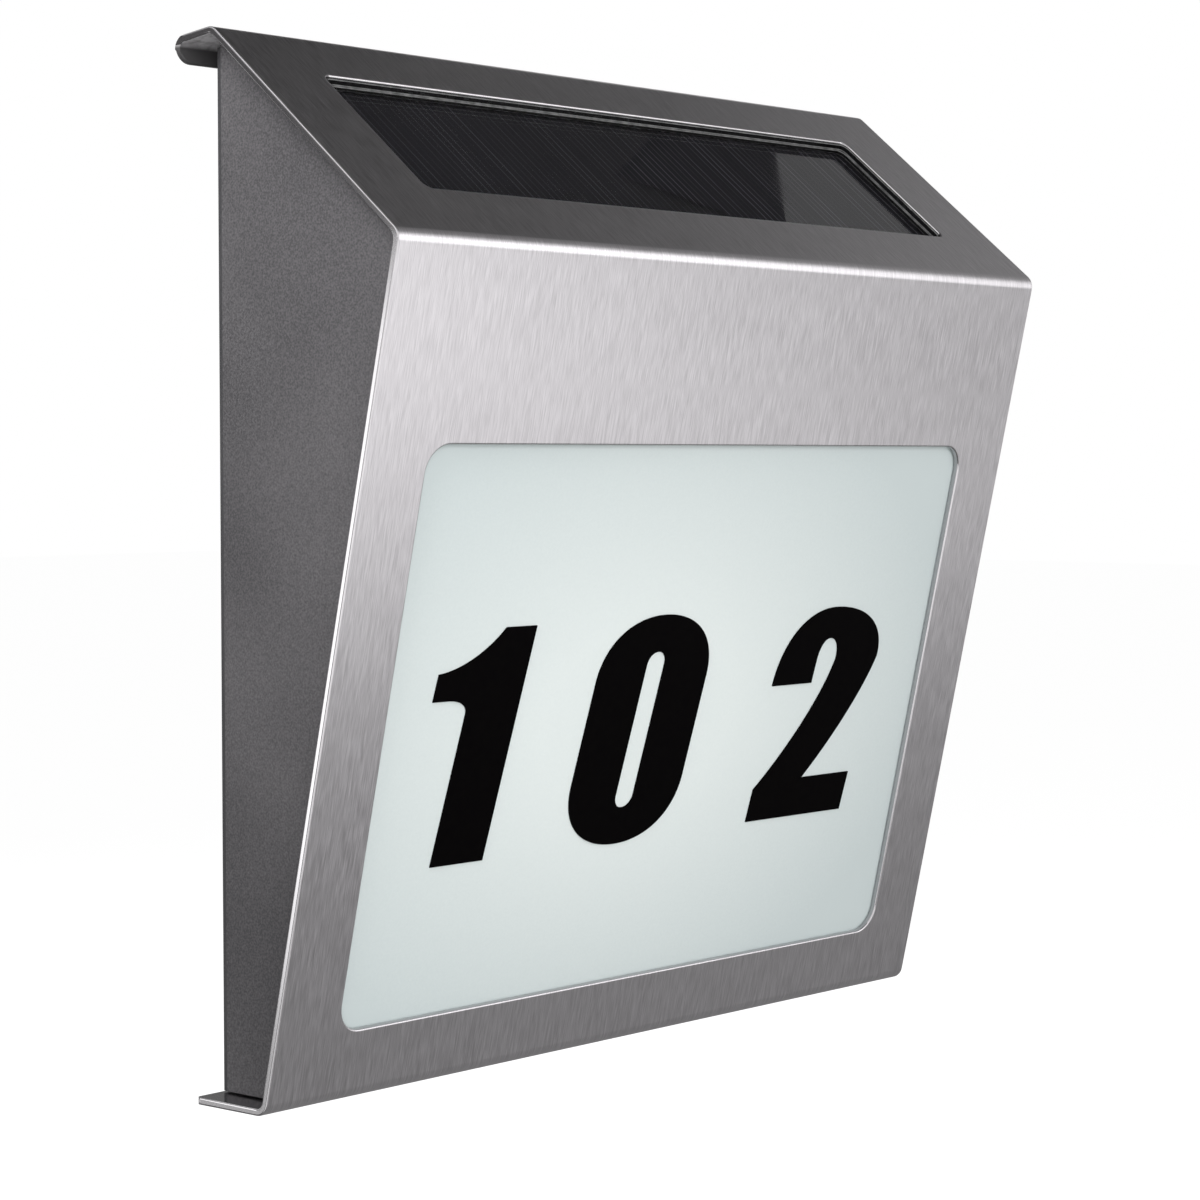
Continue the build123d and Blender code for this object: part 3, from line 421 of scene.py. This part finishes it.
# Brushed stainless: satin skins with short strokes up the sheet. Such strokes are a few hundredths of a
# millimetre wide, and are drawn a fifth of one wide so that they show
steel, tree, shader, place = finish_of("brushed_stainless_steel")
strokes = add(tree, "Mapping", {"Vector": place, "Scale": marks(0.2, 4, 4)})["Vector"]
brushing = add(tree, "TexNoise", {"Vector": strokes, "Scale": 1.0, "Detail": 3.0})["Fac"]
shade = add(tree, "MapRange", {"Value": brushing, "From Min": 0.3, "From Max": 0.7})["Result"]
tone = add(tree, "Mix", {0: shade, 6: colour("#bcb9bc"), 7: colour("#dcd9dc")}, data_type="RGBA")[2]
gloss = add(tree, "MapRange", {"Value": brushing, "From Min": 0.3, "From Max": 0.7, "To Min": 0.28,
                               "To Max": 0.36})["Result"]
relief = add(tree, "Bump", {"Height": brushing, "Strength": 0.1, "Distance": mm(0.015)})["Normal"]
around = add(tree, "Tangent", {}, direction_type="RADIAL", axis="X")["Tangent"]
feed(tree, shader, {"Metallic": 1.0, "Base Color": tone, "Roughness": gloss, "Normal": relief,
                    "Tangent": around, "Anisotropic": 0.5, "Anisotropic Rotation": 0.25})

# Laser-cut stainless: smooth bright edges. Those beside the slope and the hook are drawn darker with painted
# shade, as the photograph shows them
cut_steel, tree, shader, place = finish_of("laser_cut_stainless")
melt = add(tree, "TexNoise", {"Vector": place, "Scale": marks(0.5), "Detail": 3.0})["Fac"]
along = add(tree, "SeparateXYZ", {0: place})
outwards = add(tree, "Math", {0: along["X"]}, operation="ABSOLUTE")[0]
outer = add(tree, "MapRange", {"Value": outwards, "From Min": edge_band[0],
                               "From Max": edge_band[1]})["Result"]
# Painted shade: a mask of the cut edges beside the slope and the hook, which turns them a darker grey
above = add(tree, "MapRange", {"Value": along["Z"], "From Min": edge_shade_band[0],
                               "From Max": edge_shade_band[1]})["Result"]
painted_edge_shade = add(tree, "Math", {0: outer, 1: above}, operation="MULTIPLY")[0]
bright = add(tree, "Mix", {0: melt, 6: colour("#b2b0b2"), 7: colour("#bcbabc")}, data_type="RGBA")[2]
tone = add(tree, "Mix", {0: painted_edge_shade, 6: bright, 7: colour("#868486")}, data_type="RGBA")[2]
gloss = add(tree, "MapRange", {"Value": melt, "To Min": 0.14, "To Max": 0.18})["Result"]
feed(tree, shader, {"Metallic": 1.0, "Base Color": tone, "Roughness": gloss})

# Dull stainless: the hook's inside, cloudy, with a painted highlight in the fold and painted shade down the
# lip, as the photograph shows it
dull_steel, tree, shader, place = finish_of("dull_stainless")
mist = add(tree, "TexNoise", {"Vector": place, "Scale": marks(1.5), "Detail": 4.0})["Fac"]
height = add(tree, "SeparateXYZ", {0: place})["Z"]
# Painted light: pale towards the fold above the lip's shade band, dark down the lip below it
painted_fold_light = add(tree, "MapRange", {"Value": height, "From Min": lip_shade[0],
                                "From Max": lip_shade[1]})["Result"]
painted_light_and_mist = add(tree, "Math", {0: painted_fold_light, 1: mist}, operation="MULTIPLY")[0]
shade = add(tree, "MapRange", {"Value": painted_light_and_mist, "From Max": 0.5})["Result"]
tone = add(tree, "Mix", {0: shade, 6: colour("#4c4b4c"), 7: colour("#f2f0f2")}, data_type="RGBA")[2]
gloss = add(tree, "MapRange", {"Value": mist, "To Min": 0.42, "To Max": 0.55})["Result"]
feed(tree, shader, {"Metallic": 0.5, "Base Color": tone, "Roughness": gloss})

# Edges of the screw holes, and of four corners where a small arc meets the cut edge, stay sharp, because
# rounding folds the mesh there
flange_screw = {"head": 2.75, "tall": 1.3, "thread": 1.5, "length": 6.5}
low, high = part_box("cover_screws")
flange_seats = [(x, (low.y + high.y) / 2, low.z + mm(flange_screw["tall"]))
                for x in (low.x + mm(flange_screw["head"]), high.x - mm(flange_screw["head"]))]
half_width, flange_end, lip_end = 90, (-4.3, -156.4), (-1.7, 20.4)
under_head, corner_reach = mm(2.7, 1.6)
sharp_spots = [(seat, under_head) for seat in flange_seats]
sharp_spots += [(mm(x, *end), corner_reach) for x in (-half_width, half_width)
                for end in (flange_end, lip_end)]
cover = eased("front_cover", "folded_cover", 0.3, steel, steps=3, bare=sharp_spots)

# Cut faces look sideways, or straight up and down the sheet in the window and the solar opening. The numbers
# are the least parts of a face's direction that count as looking straight, sideways, up and back
straight, sideways, upwards, backwards = 0.99, 0.05, 0.5, 0.3
looks, spots = rows(cover.data.polygons, "normal"), rows(cover.data.polygons, "center")
up = np.where(spots[:, 2:] < ridge_level, face_up / np.linalg.norm(face_up),
              slope_up / np.linalg.norm(slope_up))
across = (np.abs((looks * up).sum(axis=1)) > straight) & (spots[:, 1] < brow_place)
flange_top = (looks[:, 2] > upwards) & (spots[:, 2] < sill_level)
in_hook = (spots[:, 2] > hook_level) & (spots[:, 1] > brow_place)
hook_inside = in_hook & (looks[:, 2] < upwards) & (looks[:, 1] < backwards)
kind = np.where(hook_inside, 2, across | flange_top | (np.abs(looks[:, 0]) > sideways))
cover.data.materials.append(cut_steel)
cover.data.materials.append(dull_steel)
cover.data.polygons.foreach_set("material_index", kind.astype(np.int32))

# Screws: self-tapping pan heads in zinc-plated steel with a cross recess and a coarse thread, four in the
# back cover, two under the flange and one in the battery door's ear.
around_count, ring_count = 60, 26
crown_middle, point_end = 0.02, 0.05  # smallest rings of the crown and the point, as shares of their largest
turn = np.arange(around_count) * 2 * pi / around_count
crease = radians(50)


def pan_head(head, tall, thread, length):
    """Points and faces of a screw along -Z with the seat of its head at Z = 0, in millimetres.

    The crown is a superellipse of power three, less a cross recess: its depth grows over a narrow band
    inwards from the outline of two crossed bars. Below the seat the radius follows a triangle wave of height
    and angle, which makes one helical thread, and tapers to a point.
    """
    bar_long, bar_wide, deep = 0.62, 0.17, 0.5 * tall
    slope_start, slope_wide = 1.2, 0.4
    out = np.linspace(crown_middle, 1, ring_count)[:, None]
    x, y = np.abs(out * np.cos(turn)), np.abs(out * np.sin(turn))
    bars = np.minimum(np.maximum(x / bar_long, y / bar_wide), np.maximum(x / bar_wide, y / bar_long))
    crown = tall * (1 - out ** 3) ** (1 / 3) - deep * np.clip((slope_start - bars) / slope_wide, 0, 1)
    pitch, core, rings_a_turn = thread * 0.9, thread * 0.72, 6
    down = np.linspace(0, -length, int(length / pitch * rings_a_turn) + 1)[:, None]
    wave = np.abs((down / pitch + turn / (2 * pi)) % 1 * 2 - 1)
    taper = np.clip((length + down) / (2 * thread), point_end, 1)
    radius = np.concatenate([out * head + 0 * turn, (core + (thread - core) * wave) * taper])
    level = np.concatenate([crown, down + 0 * turn])
    points = np.stack([radius * np.cos(turn), radius * np.sin(turn), level], axis=-1).reshape(-1, 3)
    index = np.arange(len(points)).reshape(-1, around_count)
    beside = np.roll(index, -1, axis=1)
    sides = np.stack([index[:-1], index[1:], beside[1:], beside[:-1]], axis=-1).reshape(-1, 4)
    return points, [tuple(face) for face in sides.tolist()] + [tuple(index[0]), tuple(index[-1][::-1])]


def fasten(node, piece, sizes, seats, axis):
    """New screws for a CAD node, one at each seat in metres, with heads that point along an axis."""
    points, faces = pan_head(**sizes)
    aim = np.array(Vector(axis).to_track_quat("Z", "Y").to_matrix())
    placed = np.concatenate([mm(1) * points @ aim.T + np.array(seat) for seat in seats])
    mesh = bpy.data.meshes.new(piece)
    mesh.from_pydata(placed.tolist(), [], [tuple(corner + copy * len(points) for corner in face)
                                           for copy in range(len(seats)) for face in faces])
    mesh.shade_smooth()
    mesh.set_sharp_from_angle(angle=crease)
    mesh.materials.append(plating)
    made = bpy.data.objects.new(piece, mesh)
    bpy.context.scene.collection.objects.link(made)
    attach(made, "lamp")
    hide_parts(node)


low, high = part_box("back_screws")
back_screw = {"head": 2.5, "tall": 1.6, "thread": 1.25, "length": 7.0}
edge = mm(back_screw["head"])
back_seats = [(x, high.y - mm(back_screw["tall"]), z) for x in (low.x + edge, high.x - edge)
              for z in (low.z + edge, high.z - edge)]
fasten("back_screws", "back_pan_heads", back_screw, back_seats, (0, 1, 0))
fasten("cover_screws", "flange_pan_heads", flange_screw, flange_seats, (0, 0, -1))
low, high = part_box("door_screw")
door_screw = {"head": 1.9, "tall": 1.2, "thread": 1.0}
door_screw["length"] = (high.y - low.y) / mm(1) - door_screw["tall"]
door_seat = (low.x + high.x) / 2, high.y - mm(door_screw["tall"]), (low.z + high.z) / 2
fasten("door_screw", "door_pan_head", door_screw, [door_seat], (0, 1, 0))

# Floor and room: a pale floor that keeps the light's shadow and lets the eye through from below, in a white
# room. Its glow reaches only the camera, mirrors and glass, so that it looks white without lighting anything.
floor_level, floor_half = mm(-300), 6.0
floor_glow, room_light = 0.85, 0.45


def white_to_the_eye(tree, level):
    """Strength that is level for camera, glossy and transmission rays and nothing for the rest."""
    path = add(tree, "LightPath", {})
    seen = add(tree, "Math", {0: path["Is Camera Ray"], 1: path["Is Glossy Ray"]}, operation="MAXIMUM")[0]
    seen = add(tree, "Math", {0: seen, 1: path["Is Transmission Ray"]}, operation="MAXIMUM")[0]
    return add(tree, "Math", {0: seen, 1: level}, operation="MULTIPLY")[0]


def card(name, corners, material):
    """Flat stage card through four corners."""
    mesh = bpy.data.meshes.new(name)
    mesh.from_pydata([Vector(corner) for corner in corners], [], [(0, 1, 2, 3)])
    mesh.materials.append(material)
    made = bpy.data.objects.new(name, mesh)
    bpy.context.scene.collection.objects.link(made)
    return made


def level_card(x_start, x_end, y_start, y_end, height):
    """Corners of a level rectangle, in metres."""
    return [(x_start, y_start, height), (x_end, y_start, height), (x_end, y_end, height),
            (x_start, y_end, height)]


ground = bpy.data.materials.new("pale_floor")
tree = emptied(ground)
matt = add(tree, "BsdfDiffuse", {"Color": colour("#969696")})["BSDF"]
glow = add(tree, "Emission", {"Strength": white_to_the_eye(tree, floor_glow)})["Emission"]
lit = add(tree, "AddShader", {0: matt, 1: glow})[0]
below = add(tree, "NewGeometry", {})["Backfacing"]
see_through = add(tree, "BsdfTransparent", {})["BSDF"]
add(tree, "OutputMaterial", {"Surface": add(tree, "MixShader", {0: below, 1: lit, 2: see_through})[0]})
card("floor", level_card(-floor_half, floor_half, -floor_half, floor_half, floor_level), ground)

room = bpy.data.worlds.new("white_room")
tree = emptied(room)
fill = add(tree, "Math", {0: white_to_the_eye(tree, 1 - room_light), 1: room_light}, operation="ADD")[0]
sky = add(tree, "Background", {"Color": colour("#ffffff"), "Strength": fill})["Background"]
add(tree, "OutputWorld", {"Surface": sky})
bpy.context.scene.world = room

# Mirror cards: grey and white cards around the light, which only mirrors and glass see. They give the slope
# its dark tone, the face its fall from pale to grey, and the folds and cut edges their bright lines. Their
# places are in metres.
roof = mm(700)
low_level, foot_level, toe_level = (floor_level + mm(lift) for lift in (5, 10, 15))


def mirror_card(name, corners, code, strength=1.0):
    """Card of one even shade, which mirrors and glass show and the camera doesn't."""
    stock = bpy.data.materials.new(name)
    tree = emptied(stock)
    shade = add(tree, "Emission", {"Color": colour(code), "Strength": strength})["Emission"]
    add(tree, "OutputMaterial", {"Surface": shade})
    made = card(name, corners, stock)
    made.visible_camera = False
    made.visible_diffuse = False
    made.visible_shadow = False


def upright_card(start, end, bottom, top):
    """Corners of an upright rectangle over the line from start to end, in metres."""
    return [(*start, bottom), (*end, bottom), (*end, top), (*start, top)]


mirror_card("roof_card", level_card(-0.25, 0.98, -0.05, 1.2, roof), "#343434")
mirror_card("brow_card", level_card(-0.25, 0.98, -0.7, -0.05, roof), "#7c7c7c")
mirror_card("edge_card", level_card(-1.6, -0.27, -0.6, 1.2, roof), "#ffffff", 1.3)
mirror_card("near_card", level_card(-0.9, -0.3, -0.9, -0.3, low_level), "#ffffff", 2.0)
mirror_card("ridge_card", upright_card((0.75, -1.15), (1.16, -0.822), -0.12, 0.6), "#ffffff", 2.7)
mirror_card("wall_card", upright_card((1.1, -0.65), (1.1, 0.55), floor_level, 1.0), "#9e9e9e")
mirror_card("floor_card", [(-0.2, -0.33, low_level), (1.1, -0.55, low_level), (1.1, 0.6, low_level),
                           (-0.2, 0.6, low_level)], "#8a8a8a")
mirror_card("pale_card", level_card(0.9, 2.2, -1.1, -0.2, low_level), "#969696")
mirror_card("bright_card", level_card(0.25, 0.78, -1.3, -0.67, low_level), "#ffffff", 2.0)
mirror_card("flange_card", level_card(-0.9, -0.3, 0.25, 0.75, foot_level), "#d8d8d8")
mirror_card("low_card", [(-0.05, 0.05, low_level), (-1.6, -0.1, low_level), (-1.6, 1.6, low_level),
                         (-0.05, 1.6, low_level)], "#707070")
mirror_card("left_card", upright_card((-0.35, 1.35), (-1.5, 0.3), floor_level, 0.6), "#8a8a8a")
mirror_card("line_card", upright_card((-0.7, 1.01), (-1.1, 0.65), floor_level, 0.05), "#ffffff", 2.4)
mirror_card("foot_card", level_card(-0.55, -0.98, 0.6, 0.95, toe_level), "#ffffff", 1.8)
mirror_card("rear_card", upright_card((0.92, 0.35), (0.4, 0.95), floor_level, 0.35), "#767676")

# Lamps: a small one close to the left side's top, and three large soft ones in front, to the right and
# behind. Mirrors don't see them, so the steel's tones come from the cards, the floor and the room.
middle = (cad_box[0] + cad_box[1]) / 2
left_top = mm(-90, -20, 10)


def lamp(name, place, aim, size, power):
    """Soft rectangular lamp turned to an aim: place, aim and size in metres, power in watts."""
    light = bpy.data.lights.new(name, "AREA")
    light.shape = "RECTANGLE"
    light.size, light.size_y = size
    light.energy = power
    made = bpy.data.objects.new(name, light)
    bpy.context.scene.collection.objects.link(made)
    made.location = place
    made.rotation_euler = (Vector(aim) - Vector(place)).to_track_quat("-Z", "Y").to_euler()
    made.visible_camera = False
    made.visible_glossy = False


lamp("key_lamp", (-0.24, -0.07, 0.08), left_top, (0.12, 0.12), 0.54)
lamp("front_lamp", (-0.42, -0.92, 0.0), middle, (1.2, 0.9), 9.0)
lamp("right_lamp", (0.85, 0.12, 0.1), middle, (0.6, 0.6), 4.5)
lamp("back_lamp", (-0.1, 0.95, 0.25), middle, (0.8, 0.8), 4.5)

# Camera: a long lens a little over half a metre off, to the left of the light and about level with its
# middle, fitted to the corners in the photograph.
picture = 1200
focal_pixels = 3040.6
sensor = 36.0
eye = mm(-428.33, -389.27, -48.68)
yaw, pitch, roll = radians(48.93), radians(-2.63), radians(-0.05)
view = bpy.data.cameras.new("camera")
view.sensor_width = sensor
view.lens = focal_pixels / picture * sensor
view.clip_start = mm(10)
camera = bpy.data.objects.new("camera", view)
bpy.context.scene.collection.objects.link(camera)
camera.matrix_world = (Matrix.Translation(eye) @ Matrix.Rotation(-yaw, 4, "Z")
                       @ Matrix.Rotation(pi / 2 + pitch, 4, "X") @ Matrix.Rotation(roll, 4, "Z"))
bpy.context.scene.camera = camera
bpy.context.scene.view_settings.view_transform = "Standard"
